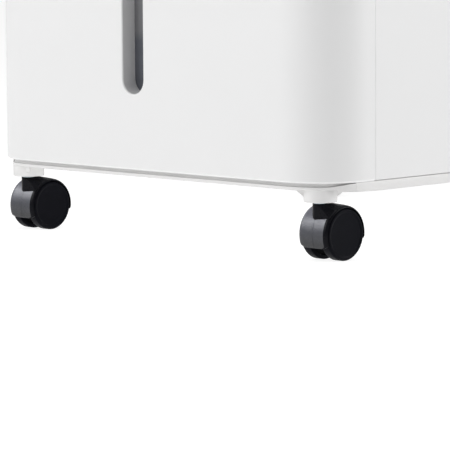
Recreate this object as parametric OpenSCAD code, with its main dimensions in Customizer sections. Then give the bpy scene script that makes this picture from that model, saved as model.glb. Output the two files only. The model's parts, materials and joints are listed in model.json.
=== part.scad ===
// Floor-standing compressor dehumidifier on four twin-wheel casters.
// Front is -Y, right is +X, up is +Z. The origin is the middle of the footprint, on the floor.
// The water tank and its wrap-around front slide out as one drawer.

/* [Cabinet] */
// Overall width
body_w = 385; // [380:1:400]
// Overall depth
body_d = 410; // [410:1:420]
// Overall height, casters included
body_h = 615; // [612:1:640]
// Wall thickness of the moulded shells
wall = 2.8; // [2.4:0.1:3.2]
// Radius of the two front vertical corners
front_r = 46.5; // [40:0.5:50]
// Radius of the two rear vertical corners
rear_r = 26; // [20:1:30]
// Distance from the front face back to the side seams
seam_depth = 54; // [52:1:58]
// Width of the seam between the front shells and the rear housing
seam_gap = 0.8; // [0.5:0.1:1.2]
// Radius of the rounded top edge
top_edge_r = 10; // [6:1:12]

/* [Heights] */
// Lower edge of the front shell
shell_z = 60; // [59.5:0.1:61]
// Seam between the tank front and the upper front panel
tank_seam_z = 288; // [287:1:292]
// Lower edge of the top cover
cover_z = 575; // [570:1:580]

/* [Level slot] */
// Width of the water-level slot
slot_w = 23.4; // [20:0.2:26]
// Sideways place of the slot
slot_x = -14; // [-20:1:20]
// Lower end of the slot
slot_z0 = 119.7; // [110:0.1:130]
// Upper end of the slot
slot_z1 = 244; // [230:1:248]
// Depth of the slot down to the window
slot_depth = 13.9; // [10:0.1:14]

/* [Base] */
// Underside of the raised front lip
lip_z = 54.7; // [54.5:0.1:55]
// Top of the front lip, below the shadow gap
lip_top = 56.8; // [56.6:0.1:57.6]
// Underside of the side skirt and of the floor of the pan
pan_z = 52.4; // [52:0.1:53]
// Set-back of the front lip behind the front shell
lip_inset = 4.5; // [4:0.1:5]

/* [Casters] */
// Wheel radius
wheel_r = 20; // [20:20]
// Half the width of a pair of wheels
pair_half = 14.6; // [14:0.1:15]
// Distance from the swivel axis back to the axle
trail = 12.8; // [12:0.1:14]
// Sideways place of the swivel axes
caster_x = 164.3; // [160:0.1:165]
// Front swivel axis behind the front face
caster_front = 23.7; // [23:0.1:26]
// Rear swivel axis ahead of the rear face
caster_rear = 42; // [40:1:50]
// Radius of the round bosses that hold the stems
boss_r = 12.1; // [11:0.1:13]
// Underside of the bosses
boss_z = 45; // [44.8:0.1:45.2]

/* [Tank] */
// Outside width of the tank
tank_w = 300; // [280:1:304]
// Tank rear face, from the middle of the cabinet
tank_back = -37; // [-45:1:-36]
// Underside of the tank
tank_z = 70.3; // [70.3:0.1:72]
// Rim of the tank
tank_rim = 238.3; // [236:0.1:239]

/* [Hidden] */
$fn = 64;

// Clearances: loose between sliding shells, running on pins, and the overshoot of a cut
gap = 0.4;
run = 0.05;
cut = 1;

half_w = body_w / 2;
front_y = -body_d / 2;
back_y = body_d / 2;
seam_y = front_y + seam_depth;
cover_top = body_h - 0.8;
skirt_top = shell_z + 0.4;
housing_z = shell_z + 0.8;
floor_top = lip_top;

window_y = front_y + slot_depth;
tank_front_y = window_y + 2.6;

// Swivel axes: name, x, y
CASTERS = [["fl", -caster_x, front_y + caster_front], ["fr", caster_x, front_y + caster_front],
    ["rl", -caster_x, back_y - caster_rear], ["rr", caster_x, back_y - caster_rear]];
stem_r = 4;
stem_top = 74;
hood_top = boss_z - 1.4;
hood_r = wheel_r + 2.2;
hood_in = wheel_r + 0.7;
web_half = 5.8;
wheel_in = 6.4;
axle_r = 2;
axle_half = pair_half - 2.7;
neck_r = 6;
caster_fn = 48;

// Pull-out handle on the tank lid
bail_y = tank_back - 18;
bail_z = 247;
bail_reach = 40;
bail_half = 58;
bail_r = 4;

// Float pivot under the lid
float_x = -100;
float_y = tank_back - 28;
float_z = 229;

// Fan axis runs along Y
fan_y = 65;
fan_z = 410;
scroll_r = 104;
scroll_y0 = fan_y - 30;
scroll_y1 = fan_y + 56;
scroll_top = 587;
fan_r = 84;
fan_blades = 28;
shaft_r = 4;

// Outlet in the top cover, and the flap's hinge
outlet_x = 101.5;
outlet_y0 = scroll_y0 + 0.5;
outlet_y1 = scroll_y1 + 7.5;
hinge_y = outlet_y1 - 10.5;
hinge_z = 606;
hinge_r = 2.5;

// Control panel in the top cover
panel_x = 112;
panel_y0 = front_y + 12;
panel_y1 = front_y + 68;
panel_floor = 607;
button_r = 6;
button_y = (panel_y0 + panel_y1) / 2;

// Rear intake
intake_x = 128.4;
intake_z0 = 306;
intake_z1 = 540;

// Rear services
drain_x = -150;
drain_z = 262;
cord_x = 150;
cord_z = 102;
screw_spots = [[-155, 74], [155, 74], [-155, 558], [155, 558]];

// Coils
coil_half = 118;
coil_z0 = 308;
coil_pitch = 26;
coil_tubes = 8;

// Compressor
comp_x = 95;
comp_y = back_y - 54;
comp_feet = [[54, -28], [54, 28], [-54, 0]];
shelf_z = 294;
partition_y = tank_back + 5;

// Drip tray, its spout over the tank, and its drain
evaporator_y = back_y - 30.7;
condenser_y = back_y - 63.5;
tray_y0 = back_y - 80;
tray_y1 = back_y - 15.5;
spout_y = tank_back - 14;
drain_y = back_y - 42;

white = [0.93, 0.93, 0.93];
inner_grey = [0.72, 0.73, 0.74];
black = [0.08, 0.08, 0.09];
zinc = [0.70, 0.75, 0.77];
copper = [0.72, 0.45, 0.30];

// ---- shared shapes ----

// Cabinet outline seen from above, drawn in all round, and further at the front
module footprint(inset = 0, front_inset = 0) {
    rf = front_r - inset;
    rr = rear_r - inset;
    x = half_w - inset;
    y0 = front_y + inset + front_inset;
    y1 = back_y - inset;
    for (s = [-1, 1]) {
        translate([s * (x - rf), y0 + rf]) circle(r = rf);
        translate([s * (x - rr), y1 - rr]) circle(r = rr);
    }
    translate([-(x - rf), y0]) square([2 * (x - rf), 2 * rf]);
    translate([-x, y0 + rf]) square([2 * x, y1 - rr - y0 - rf]);
    translate([-(x - rr), y1 - 2 * rr]) square([2 * (x - rr), 2 * rr]);
}

module slab(z0, z1, inset = 0, front_inset = 0) {
    translate([0, 0, z0]) linear_extrude(z1 - z0) footprint(inset, front_inset);
}

module ring(z0, z1, inset, thick, front_inset = 0) {
    difference() {
        slab(z0, z1, inset, front_inset);
        slab(z0 - cut, z1 + cut, inset + thick, front_inset);
    }
}

// A block given by its two corners
module block(low, high) {
    translate(low) cube(high - low);
}

// A block with round vertical edges
module round_block(low, high, r) {
    size = high - low;
    translate(low) {
        for (x = [r, size[0] - r], y = [r, size[1] - r]) translate([x, y, 0]) cylinder(r = r, h = size[2]);
        translate([r, 0, 0]) cube([size[0] - 2 * r, size[1], size[2]]);
        translate([0, r, 0]) cube([size[0], size[1] - 2 * r, size[2]]);
    }
}

module rod_x(x0, x1, r) {
    translate([x0, 0, 0]) rotate([0, 90, 0]) cylinder(r = r, h = x1 - x0);
}

module rod_y(y0, y1, r) {
    translate([0, y0, 0]) rotate([-90, 0, 0]) cylinder(r = r, h = y1 - y0);
}

module rod_z(z0, z1, r) {
    translate([0, 0, z0]) cylinder(r = r, h = z1 - z0);
}

// Upright pill shape, extruded along Y
module pill(r, z0, z1, y0, y1) {
    translate([0, 0, z0 + r]) rod_y(y0, y1, r);
    translate([0, 0, z1 - r]) rod_y(y0, y1, r);
    block([-r, y0, z0 + r], [r, y1, z1 - r]);
}

// A round bar from one point to another
module bar(a, b, r) {
    d = b - a;
    translate(a) rotate([0, acos(d[2] / norm(d)), atan2(d[1], d[0])]) cylinder(r = r, h = norm(d));
}

// A pipe through a list of points, with slightly swollen ball corners
module pipe(points, r) {
    for (i = [0 : len(points) - 2]) bar(points[i], points[i + 1], r);
    for (i = [1 : len(points) - 2]) translate(points[i]) sphere(r = r + 0.3);
}

// ---- base ----

module base_pan() color(white) difference() {
    union() {
        slab(lip_z, lip_top, lip_inset);
        slab(pan_z, lip_z, 1.5, 17);
        difference() {
            ring(lip_z, skirt_top - 0.5, 1.5, 3.5);
            block([-body_w, front_y - cut, lip_z - cut], [body_w, front_y + 36, skirt_top + cut]);
        }
        ring(lip_top, lip_top + 9, wall + gap, 2.5, 5);
        for (c = CASTERS) translate([c[1], c[2], 0]) {
            rod_z(boss_z, lip_z + 0.1, boss_r);
            rod_z(lip_top, stem_top + 2, 8.5);
        }
        for (s = [-1, 1])
            block([s * 110 - 4, front_y + 12, floor_top], [s * 110 + 4, tank_back, tank_z - 0.3]);
        for (f = comp_feet) translate([comp_x + f[0], comp_y + f[1], 0]) rod_z(floor_top, 92, 3);
    }
    for (c = CASTERS) translate([c[1], c[2], 0]) rod_z(boss_z - cut, stem_top + 0.5, stem_r + run);
}

// ---- shells ----

module tank_front() color(white) difference() {
    union() {
        intersection() {
            ring(shell_z, tank_seam_z - seam_gap, 0, wall);
            block([-body_w, front_y - cut, 0], [body_w, seam_y, body_h]);
        }
        translate([slot_x, 0, 0]) pill(slot_w / 2 + 2, slot_z0 - 2, slot_z1 + 2, front_y + 1.5, window_y);
        block([-57.5, front_y + 1.5, 258], [57.5, front_y + 25, tank_seam_z - seam_gap]);
        for (s = [-1, 1]) block([s * 120 - 6, front_y + 1.5, 90], [s * 120 + 6, tank_front_y, 200]);
    }
    translate([slot_x, 0, 0]) pill(slot_w / 2, slot_z0, slot_z1, front_y - cut, window_y + cut);
    block([-55, front_y + wall, 260.5], [55, front_y + 22.5, tank_seam_z + cut]);
    block([-55, front_y - cut, 271], [55, front_y + wall + cut, tank_seam_z + cut]);
}

module level_window() color([0.27, 0.28, 0.31]) translate([slot_x, 0, 0])
    pill(slot_w / 2 + 1.8, slot_z0 - 1.8, slot_z1 + 1.8, window_y, window_y + 2);

module front_panel() color(white) {
    intersection() {
        ring(tank_seam_z, cover_z - 0.6, 0, wall);
        block([-body_w, front_y - cut, 0], [body_w, seam_y, body_h]);
    }
    intersection() {
        ring(tank_seam_z, tank_seam_z + 2.5, wall - 0.5, 12);
        block([-body_w, front_y - cut, 0], [body_w, seam_y - 6, body_h]);
    }
}

module rear_housing() color([0.92, 0.92, 0.92]) difference() {
    union() {
        difference() {
            ring(housing_z, cover_z - 0.6, 0, wall);
            block([-body_w, front_y - cut, 0], [body_w, seam_y + seam_gap, body_h]);
        }
        for (p = screw_spots) translate([p[0], 0, p[1]]) rod_y(back_y - 15, back_y - wall + 0.5, 6);
    }
    block([-intake_x, back_y - 20, intake_z0], [intake_x, back_y + cut, intake_z1]);
    for (s = [-1, 1]) block([s * half_w - 5, -10, 452], [s * half_w + 5, 90, 482]);
    translate([drain_x, 0, drain_z]) rod_y(back_y - 10, back_y + cut, 20.3);
    translate([cord_x, 0, cord_z]) {
        rod_y(back_y - 10, back_y + cut, 8);
        rod_y(back_y - 1.8, back_y + cut, 11);
    }
    for (p = screw_spots) translate([p[0], 0, p[1]]) {
        rod_y(back_y - 20, back_y, 1.95);
        rod_y(back_y - 4, back_y + cut, 4.2);
    }
}

// Solid form of the top cover with its rounded edge
module cover_form(z0, inset) {
    hull() for (a = [0 : 15 : 90]) {
        z1 = cover_top - top_edge_r + (top_edge_r - inset) * sin(a);
        slab(z0, z1, inset + (top_edge_r - inset) * (1 - cos(a)));
    }
}

module top_cover() color(white) difference() {
    union() {
        difference() {
            cover_form(cover_z, 0);
            cover_form(cover_z - cut, wall);
        }
        ring(cover_z - 5, cover_z + 2, wall + gap, 2);
        ring(cover_z + 1, cover_z + 3, wall - 0.5, 3);
        block([-panel_x - 3, panel_y0 - 2, panel_floor - 3], [panel_x + 3, panel_y1 + 3, cover_top - 2]);
        block([-outlet_x - 3, outlet_y0 - 3, 588], [outlet_x + 3, outlet_y1 + 3, cover_top - 2]);
    }
    block([-panel_x, panel_y0, panel_floor], [panel_x, panel_y1, body_h + cut]);
    block([-outlet_x, outlet_y0, 587], [outlet_x, outlet_y1, body_h + cut]);
    translate([0, hinge_y, hinge_z]) rod_x(-outlet_x - 2.2, outlet_x + 2.2, hinge_r + run);
}

module mid_frame() color(inner_grey) difference() {
    union() {
        block([-187, seam_y + 2, shelf_z], [187, back_y - 15.5, shelf_z + 3]);
        block([-187, partition_y, floor_top], [187, partition_y + 2.5, shelf_z + 1]);
        for (s = [-1, 1])
            block([s * 158 - 1.2, seam_y + 2, floor_top], [s * 158 + 1.2, partition_y + 1, shelf_z + 1]);
    }
    translate([comp_x, spout_y, 0]) rod_z(shelf_z - cut, shelf_z + 5, 8.5);
    block([140, tray_y0, shelf_z - cut], [172, tray_y1 - 2.5, shelf_z + 5]);
    block([drain_x - 15, drain_y - 18, shelf_z - cut], [drain_x + 14, drain_y + 22, shelf_z + 5]);
    for (c = CASTERS) translate([c[1], c[2], 0]) rod_z(floor_top - cut, stem_top + 4, 9.5);
    ring(0, lip_top + 9.5, wall, 3.2, 5);
}

// ---- top ----

module control_panel() color([0.10, 0.10, 0.11]) difference() {
    union() {
        block([-panel_x + 0.3, panel_y0 + 0.3, 611], [panel_x - 0.3, panel_y1 - 0.3, cover_top]);
        block([-panel_x + 0.3, panel_y0 + 0.3, panel_floor], [-panel_x + 3, panel_y1 - 0.3, 611.5]);
        block([panel_x - 3, panel_y0 + 0.3, panel_floor], [panel_x - 0.3, panel_y1 - 0.3, 611.5]);
    }
    for (x = [-88, -58, 58, 88]) translate([x, button_y, 0]) rod_z(610, body_h + cut, button_r + 0.3);
    block([-34.2, button_y - 14.2, cover_top - 2], [34.2, button_y + 14.2, body_h + cut]);
    block([-31, button_y - 11, 610], [31, button_y + 11, body_h]);
}

module display_window() color([0.05, 0.06, 0.08])
    block([-34, button_y - 14, cover_top - 2], [34, button_y + 14, cover_top]);

module button(x) color([0.80, 0.81, 0.83]) translate([x, button_y, 0]) {
    rod_z(609, body_h, button_r);
    rod_z(608.6, 610.6, button_r + 1.4);
}

module louver() color(white) {
    block([-100.2, outlet_y0 + 1, 611.6], [100.2, hinge_y + 5, cover_top]);
    for (s = [-1, 1]) {
        block([s * 97 - 3, hinge_y - 5, hinge_z - 4.5], [s * 97 + 3, hinge_y + 4.5, 612]);
        translate([0, hinge_y, hinge_z]) rod_x(s * 100 - 3.4, s * 100 + 3.4, hinge_r);
    }
}

module outlet_grille() color([0.20, 0.20, 0.21]) {
    difference() {
        block([-outlet_x + 0.3, outlet_y0 + 0.3, 588.5], [outlet_x - 0.3, outlet_y1 - 0.3, 593]);
        block([-outlet_x + 5, outlet_y0 + 5, 587], [outlet_x - 5, outlet_y1 - 5, 595]);
    }
    for (i = [1 : 8]) translate([0, outlet_y0 + 3 + i * 9.7, 0])
        block([-outlet_x + 4, -1, 588.5], [outlet_x - 4, 1, 593]);
    for (x = [-33, 33]) block([x - 1.2, outlet_y0 + 4, 588.5], [x + 1.2, outlet_y1 - 4, 592]);
}

// ---- rear ----

module rear_grille() color(white) difference() {
    union() {
        difference() {
            block([-128, back_y - 9, intake_z0 + 0.4], [128, back_y, intake_z1 - 0.4]);
            block([-119, back_y - 10, intake_z0 + 9], [119, back_y + cut, intake_z1 - 9]);
        }
        for (z = [intake_z0 + 16 : 12 : intake_z1 - 16])
            block([-120, back_y - 6, z - 2.5], [120, back_y - 1.5, z + 2.5]);
        for (x = [-60, 0, 60]) block([x - 2, back_y - 9, intake_z0 + 5], [x + 2, back_y - 5, intake_z1 - 5]);
        block([-26, back_y - 9, intake_z1 - 34], [26, back_y - 0.5, intake_z1 - 5]);
    }
    block([-23, back_y - 7.5, intake_z1 - 31], [23, back_y + cut, intake_z1 - 13]);
}

module filter_mesh() color([0.25, 0.26, 0.28]) difference() {
    block([-124, back_y - 12.4, intake_z0 + 4], [124, back_y - 9, intake_z1 - 4]);
    for (x = [-59.5, 59.5], y = [back_y - 13, back_y - 10.2])
        block([x - 55.5, y, intake_z0 + 10], [x + 55.5, y + 2, intake_z1 - 10]);
}

module handle_cups() color([0.85, 0.85, 0.86]) for (s = [-1, 1]) difference() {
    block([s * (half_w - 12.2) - 11.8, -9.8, 452.2], [s * (half_w - 12.2) + 11.8, 89.8, 481.8]);
    block([s * (half_w - 9) - 13, -7.8, 454.2], [s * (half_w - 9) + 13, 87.8, 479.8]);
}

module drain_port() color(inner_grey) translate([drain_x, 0, drain_z]) difference() {
    union() {
        difference() {
            rod_y(back_y - 24, back_y - 0.4, 20);
            rod_y(back_y - 22, back_y + cut, 18);
        }
        rod_y(back_y - 36, back_y - 2, 8);
    }
    rod_y(back_y - 37, back_y, 5.5);
}

module drain_plug() color(black) translate([drain_x, 0, drain_z]) {
    rod_y(back_y - 18, back_y - 1.9, 5.42);
    rod_y(back_y - 1.9, back_y, 7.4);
}

module drain_hose() color([0.35, 0.36, 0.38]) {
    path = [[drain_x, back_y - 24.5, drain_z], [drain_x, drain_y, drain_z], [drain_x, drain_y, 301.5],
        [-139.5, drain_y, 301.5]];
    difference() {
        pipe(path, 9.6);
        pipe([path[0] + [0, cut, 0], path[1], path[2], path[3] + [cut, 0, 0]], 8.05);
    }
}

module cord_gland() color(black) translate([cord_x, 0, cord_z]) difference() {
    union() {
        rod_y(back_y - 1.7, back_y, 10.6);
        rod_y(back_y - 10, back_y - 1.6, 7.8);
        rod_y(back_y - 9, back_y - wall - 0.2, 11);
    }
    rod_y(back_y - 11, back_y + cut, 3.9);
}

module screws() color(zinc) for (p = screw_spots) translate([p[0], 0, p[1]]) {
    rod_y(back_y - 16, back_y - 3.9, 1.9);
    difference() {
        rod_y(back_y - 3.95, back_y - 1.6, 3.7);
        rotate([0, 45, 0]) block([-0.5, back_y - 2.8, -2.4], [0.5, back_y, 2.4]);
        rotate([0, -45, 0]) block([-0.5, back_y - 2.8, -2.4], [0.5, back_y, 2.4]);
    }
}

// ---- cooling circuit ----

module drip_tray() color(inner_grey) difference() {
    union() {
        block([-138, tray_y0, shelf_z + 3], [138, tray_y1, shelf_z + 12]);
        block([comp_x - 11, spout_y - 11, shelf_z + 3], [comp_x + 11, tray_y0 + 1, shelf_z + 12]);
        translate([comp_x, spout_y, 0]) rod_z(284, shelf_z + 5, 7.5);
        translate([0, drain_y, 301.5]) rod_x(-149, -137, 8);
    }
    block([-136, tray_y0 + 2, shelf_z + 5], [136, tray_y1 - 2, shelf_z + 13]);
    block([comp_x - 9, spout_y - 9, shelf_z + 5], [comp_x + 9, tray_y0 + 3, shelf_z + 13]);
    translate([comp_x, spout_y, 0]) rod_z(283, shelf_z + 6, 5.5);
    translate([0, drain_y, 301.5]) rod_x(-150, -135, 2.4);
}

// Fin pack between two end plates. Return bends join the tubes in pairs, and leave the first and
// the last tube open on the right
module coil(y) {
    z1 = coil_z0 + coil_pitch * coil_tubes;
    block([-coil_half, y - 11, coil_z0], [coil_half, y + 11, z1]);
    for (s = [-1, 1]) {
        block([s * (coil_half + 1) - 1, y - 13, shelf_z + 5], [s * (coil_half + 1) + 1, y + 13, z1 + 3]);
        for (i = [(s > 0 ? 1 : 0) : 2 : coil_tubes - 2])
            translate([s * (coil_half + 2), y, coil_z0 + coil_pitch * (i + 1)])
                rotate([90, 0, 0]) rotate([0, 0, s * 90 - 180]) rotate_extrude(angle = 180)
                    translate([coil_pitch / 2, 0]) circle(r = 4.5, $fn = 24);
    }
}

module evaporator() color([0.78, 0.80, 0.82]) coil(evaporator_y);

module condenser() color([0.74, 0.76, 0.78]) coil(condenser_y);

module compressor() color(black) translate([comp_x, comp_y, 0]) {
    rod_z(88, 236, 46);
    translate([0, 0, 236]) cylinder(r1 = 46, r2 = 34, h = 12);
    translate([0, 0, 80]) cylinder(r1 = 36, r2 = 46, h = 8);
    rod_z(248, 262, 14);
    translate([20, 0, 0]) rod_z(240, 268, 4.5);
    translate([68, 0, 0]) {
        rod_z(110, 190, 17);
        translate([0, 0, 190]) cylinder(r1 = 17, r2 = 6, h = 12);
        rod_z(200, 214, 5.5);
    }
    block([40, -8, 140], [56, 8, 160]);
    difference() {
        hull() for (f = comp_feet) translate([f[0], f[1], 77]) cylinder(r = 11, h = 3, $fn = 32);
        for (f = comp_feet) translate([f[0], f[1], 0]) rod_z(76, 81, 6);
    }
}

module compressor_mounts() color([0.14, 0.14, 0.15]) for (f = comp_feet)
    translate([comp_x + f[0], comp_y + f[1], 0]) difference() {
        union() {
            rod_z(floor_top, 77, 9);
            rod_z(76.9, 80.1, 5.9);
            rod_z(80, 86, 8);
        }
        rod_z(floor_top - cut, 87, 3.05);
    }

module refrigerant_lines() color(copper) {
    $fn = 20;
    pipe([[comp_x + 20, comp_y, 268], [comp_x + 20, comp_y, 278], [156, comp_y, 278], [156, comp_y, 438],
        [147, comp_y, 460], [147, condenser_y, 503], [120, condenser_y, 503]], 3.2);
    pipe([[comp_x + 68, comp_y, 214], [comp_x + 68, comp_y, 250], [158, evaporator_y, 270],
        [158, evaporator_y, 321], [120, evaporator_y, 321]], 4.6);
    pipe([[120, condenser_y, 321], [142, condenser_y, 321], [142, drain_y, 345]], 3.2);
    translate([142, drain_y, 345]) rod_z(0, 60, 9);
    pipe([[142, drain_y, 405], [142, drain_y, 440], [142, evaporator_y, 503], [120, evaporator_y, 503]], 2.2);
}

module run_capacitor() color([0.82, 0.83, 0.85]) translate([-60, partition_y + 57, 0]) {
    rod_z(floor_top, 124, 18);
    for (s = [-1, 1]) block([s * 6 - 3, -0.5, 123], [s * 6 + 3, 0.5, 132]);
    difference() {
        rod_z(84, 96, 19.5);
        rod_z(83, 97, 17.9);
    }
    block([-24, -54.5, 84], [24, -52, 96]);
    for (s = [-1, 1]) block([s * 19 - 1, -53, 84], [s * 19 + 1, 1, 96]);
}

// ---- fan ----

module scroll_form(grow, y0, y1, z1) {
    translate([0, 0, fan_z]) rod_y(y0, y1, scroll_r + grow);
    block([-scroll_r - grow, y0, fan_z], [scroll_r + grow, y1, z1]);
}

module fan_scroll() color([0.86, 0.86, 0.84]) difference() {
    scroll_form(0, scroll_y0, scroll_y1, scroll_top);
    scroll_form(-2.5, scroll_y0 + 2.5, scroll_y1 - 2.5, scroll_top + cut);
    translate([0, 0, fan_z]) rod_y(scroll_y1 - 5, scroll_y1 + cut, 68);
    translate([0, 0, fan_z]) rod_y(scroll_y0 - cut, scroll_y0 + 5, 14);
}

module fan_wheel() color([0.90, 0.90, 0.88]) translate([0, fan_y, fan_z]) difference() {
    union() {
        rod_y(-22, -20, fan_r);
        rod_y(-21, 2, 11);
        for (i = [0 : fan_blades - 1]) rotate([0, i * 360 / fan_blades, 0])
            translate([fan_r - 9, -21, 0]) rotate([0, 35, 0]) translate([-8, 0, -0.8]) cube([16, 66, 1.6]);
        difference() {
            rod_y(43, 46, fan_r);
            rod_y(42, 47, fan_r - 17);
        }
    }
    rod_y(-23, 3, shaft_r + run);
}

module fan_motor() color([0.45, 0.46, 0.48]) translate([0, fan_y, fan_z]) {
    rod_y(-74, -36, 40);
    rod_y(-36, -31, 34);
    rod_y(-32, 0, shaft_r);
    for (a = [45 : 90 : 315]) rotate([0, a, 0]) block([30, -34, -6], [52, scroll_y0 - fan_y, 6]);
}

// ---- electrics ----

module control_board() color([0.10, 0.35, 0.20]) {
    block([-140, front_y + 12, 460], [-50, front_y + 13.6, 562]);
    for (z = [467, 555], x = [-134, -56]) translate([x, 0, z]) rod_y(front_y + wall, front_y + 12.1, 4);
    block([-128, front_y + 13.5, 518], [-103, front_y + 30, 546]);
    block([-92, front_y + 13.5, 520], [-64, front_y + 24, 544]);
    for (i = [0 : 2]) translate([-118 + i * 22, 0, 492]) rod_y(front_y + 13.5, front_y + 34, 8);
    for (i = [0 : 3]) block([-122 + i * 16, front_y + 13.5, 466], [-112 + i * 16, front_y + 22, 476]);
}

module tank_sensor() color(black) {
    block([float_x - 12, partition_y - 2.8, 204], [float_x + 12, partition_y, 226]);
    translate([float_x, 0, 215]) rod_y(partition_y - 3.2, partition_y - 2.7, 5);
}

// ---- tank ----

module tank_body() color([0.60, 0.63, 0.66]) difference() {
    x = tank_w / 2;
    union() {
        round_block([-x, tank_front_y, tank_z], [x, tank_back, tank_rim], 18);
        round_block([-x - 1.5, tank_front_y, tank_rim - 5], [x + 1.5, tank_back + 1.5, tank_rim], 18);
    }
    round_block([-x + 2.2, tank_front_y + 2.2, tank_z + 2.2], [x - 2.2, tank_back - 2.2, tank_rim + cut], 16);
}

module tank_lid() color(white) difference() {
    x = tank_w / 2 + 2;
    union() {
        round_block([-x, tank_front_y, tank_rim], [x, tank_back + 2, tank_rim + 2.6], 18);
        for (s = [-1, 1]) {
            translate([s * (bail_half + 7), bail_y, 0]) block([-2.5, -7, tank_rim], [2.5, 7, 252]);
            translate([float_x + s * 14, float_y, 0]) block([-1.8, -6, 224], [1.8, 6, tank_rim + 1]);
            block([s * 143 - 1, tank_front_y + 33.5, tank_rim - 6], [s * 143 + 1, tank_back - 28, tank_rim + 1]);
        }
    }
    block([comp_x - 22, spout_y - 14, tank_rim - 1], [comp_x + 22, spout_y + 12, tank_rim + 5]);
    translate([0, bail_y, bail_z]) rod_x(-bail_half - 12, bail_half + 12, 2.55);
    translate([float_x, float_y, float_z]) rod_x(-18, 18, 2.05);
}

module tank_handle() color(inner_grey) translate([0, bail_y, bail_z]) {
    translate([0, -bail_reach, 0]) rod_x(-bail_half, bail_half, bail_r);
    for (s = [-1, 1]) {
        translate([s * bail_half, 0, 0]) rod_y(-bail_reach, 0, bail_r);
        translate([s * bail_half, -bail_reach, 0]) sphere(r = bail_r);
        rod_x(s * bail_half - 3.8, s * bail_half + 3.8, 5);
        rod_x(s * (bail_half + 4) - 5.5, s * (bail_half + 4) + 5.5, 2.5);
    }
}

module tank_float() color([0.92, 0.60, 0.20]) translate([float_x, float_y, float_z]) {
    rod_x(-15.6, 15.6, 2);
    rod_x(-6, 6, 4.5);
    block([-4, -62, -2.5], [4, 0, 2]);
    translate([0, -62, 0]) rod_z(-26, -3, 16);
    translate([0, -62, 0]) rod_z(-4, 0, 7);
}

// ---- casters, drawn about the swivel axis with the wheels trailing to the rear ----

module caster_stem() color(zinc) {
    rod_z(34, stem_top, stem_r);
    rod_z(hood_top + 0.1, boss_z - 0.2, 5.3);
}

module caster_hood() color(black) difference() {
    union() {
        translate([0, trail, wheel_r]) rod_x(-pair_half + 0.2, pair_half - 0.2, hood_r, $fn = caster_fn);
        hull() {
            rod_z(40, hood_top, neck_r, $fn = 32);
            block([-pair_half + 0.2, trail - 4, 41], [pair_half - 0.2, trail + 6, wheel_r + hood_r]);
        }
        rod_z(32, hood_top, neck_r);
    }
    for (s = [-1, 1]) translate([0, trail, wheel_r])
        rod_x(s > 0 ? web_half : -pair_half - 1, s > 0 ? pair_half + 1 : -web_half, hood_in, $fn = caster_fn);
    block([-pair_half - 1, trail - 30, -5], [pair_half + 1, trail, 10.3]);
    block([-pair_half - 1, trail - cut, -5], [pair_half + 1, trail + 30, 14.5]);
    rod_z(33.9, hood_top + cut, stem_r + 0.02);
    translate([0, trail, wheel_r]) rod_x(-web_half - 1, web_half + 1, axle_r + 0.02);
}

module caster_axle() color(zinc) translate([0, trail, wheel_r]) rod_x(-axle_half, axle_half, axle_r);

// One wheel of a pair, the right one for side = 1
module caster_wheel(side) color(black) translate([0, trail, wheel_r])
    rotate([0, side * 90, 0]) difference() {
        union() {
            rod_z(wheel_in, pair_half - 1.6, wheel_r);
            translate([0, 0, pair_half - 1.6]) cylinder(r1 = wheel_r, r2 = wheel_r - 1.4, h = 1.6);
        }
        difference() {
            rod_z(wheel_in - cut, pair_half - 4, wheel_r - 3);
            rod_z(wheel_in - 2 * cut, pair_half, 7.5);
        }
        rod_z(wheel_in - cut, axle_half + 0.2, axle_r + run);
        translate([0, 0, pair_half - 0.6]) cylinder(r1 = wheel_r - 5, r2 = wheel_r - 2.6, h = 0.6 + 0.01);
    }

module at_caster(c) {
    translate([c[1], c[2], 0]) children();
}

base_pan();
rear_housing();
front_panel();
top_cover();
mid_frame();
control_panel();
display_window();
button(-88);  // button_power
button(-58);  // button_fan
button(58);  // button_humidity
button(88);  // button_timer
louver();
outlet_grille();
rear_grille();
filter_mesh();
handle_cups();
drain_port();
drain_plug();
drain_hose();
cord_gland();
screws();
drip_tray();
evaporator();
condenser();
compressor();
compressor_mounts();
refrigerant_lines();
fan_scroll();
fan_wheel();
fan_motor();
control_board();
run_capacitor();
tank_sensor();
tank_front();
level_window();
tank_body();
tank_lid();
tank_handle();
tank_float();
for (c = CASTERS) {
    at_caster(c) caster_stem();
    at_caster(c) caster_hood();
    at_caster(c) caster_axle();
    at_caster(c) caster_wheel(-1);
    at_caster(c) caster_wheel(1);
}
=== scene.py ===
"""Looks of a floor-standing compressor dehumidifier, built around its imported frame.

Every length is in metres. The front is -Y, the right side is +X and the floor is at Z 0. Each
sub-assembly is a class with its sizes as fields, and each finish is a frozen dataclass.
"""

from __future__ import annotations

import json
import logging
import math
from dataclasses import dataclass, field
from enum import Enum
from typing import Callable, Iterable, Sequence

import bmesh
import bpy
from mathutils import Matrix, Vector

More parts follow.
